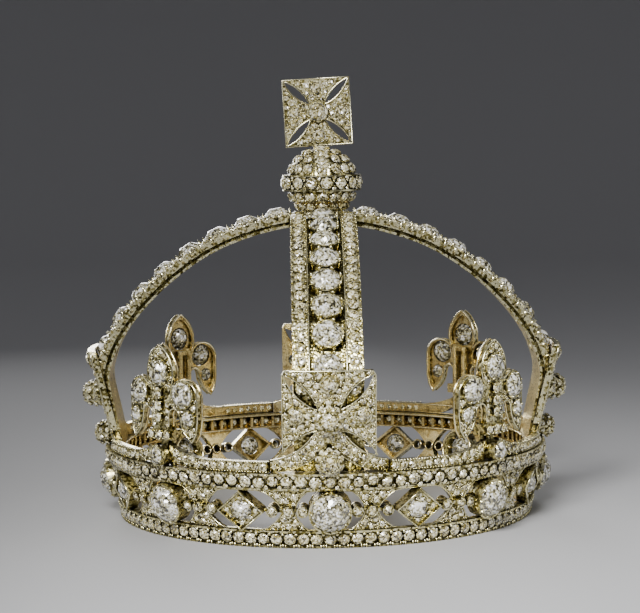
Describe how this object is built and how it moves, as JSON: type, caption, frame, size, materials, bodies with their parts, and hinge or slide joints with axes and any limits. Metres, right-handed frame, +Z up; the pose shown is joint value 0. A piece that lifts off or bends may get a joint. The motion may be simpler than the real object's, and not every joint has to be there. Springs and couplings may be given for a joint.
{
  "type": "crown",
  "caption": "Small closed state crown, silver backed with gold and set all over with cut diamonds: pierced band, crosses, fleurs-de-lis, arches, orb and cross.",
  "frame": {"origin": "centre of the base ring, on the plane that the crown stands on", "axes": "+Z up along the crown's axis, -Y towards the front cross, +X to the right of someone who looks at the front"},
  "size_m": [0.1078, 0.1078, 0.0964],
  "materials": {
    "silver": "polished silver settings, slightly tarnished",
    "gold": "polished gold rims and backs",
    "diamond": "cut and polished white diamonds"
  },
  "bodies": {
    "root": {"band": "silver", "garland": "silver", "cross_front": "silver", "cross_right": "silver", "cross_back": "silver", "cross_left": "silver", "fleur_front_right": "silver", "fleur_back_right": "silver", "fleur_back_left": "silver", "fleur_front_left": "silver", "arch_front": "silver", "arch_right": "silver", "arch_back": "silver", "arch_left": "silver", "arch_boss": "gold", "orb": "silver", "orb_belt": "gold", "top_cross": "silver", "round_stone_1": "diamond", "round_stone_2": "diamond", "round_stone_3": "diamond", "round_stone_4": "diamond", "round_stone_5": "diamond", "round_stone_6": "diamond", "round_stone_7": "diamond", "round_stone_8": "diamond", "lozenge_stone_1": "diamond", "lozenge_stone_2": "diamond", "lozenge_stone_3": "diamond", "lozenge_stone_4": "diamond", "lozenge_stone_5": "diamond", "lozenge_stone_6": "diamond", "lozenge_stone_7": "diamond", "lozenge_stone_8": "diamond", "base_stones": "diamond", "upright_stones": "diamond", "cross_stones_front": "diamond", "cross_stones_right": "diamond", "cross_stones_back": "diamond", "cross_stones_left": "diamond", "fleur_stones_front_right": "diamond", "fleur_stones_back_right": "diamond", "fleur_stones_back_left": "diamond", "fleur_stones_front_left": "diamond", "arch_stones_front": "diamond", "arch_stones_right": "diamond", "arch_stones_back": "diamond", "arch_stones_left": "diamond", "belt_stones": "diamond", "top_cross_stones": "diamond"}
  },
  "joints": []
}
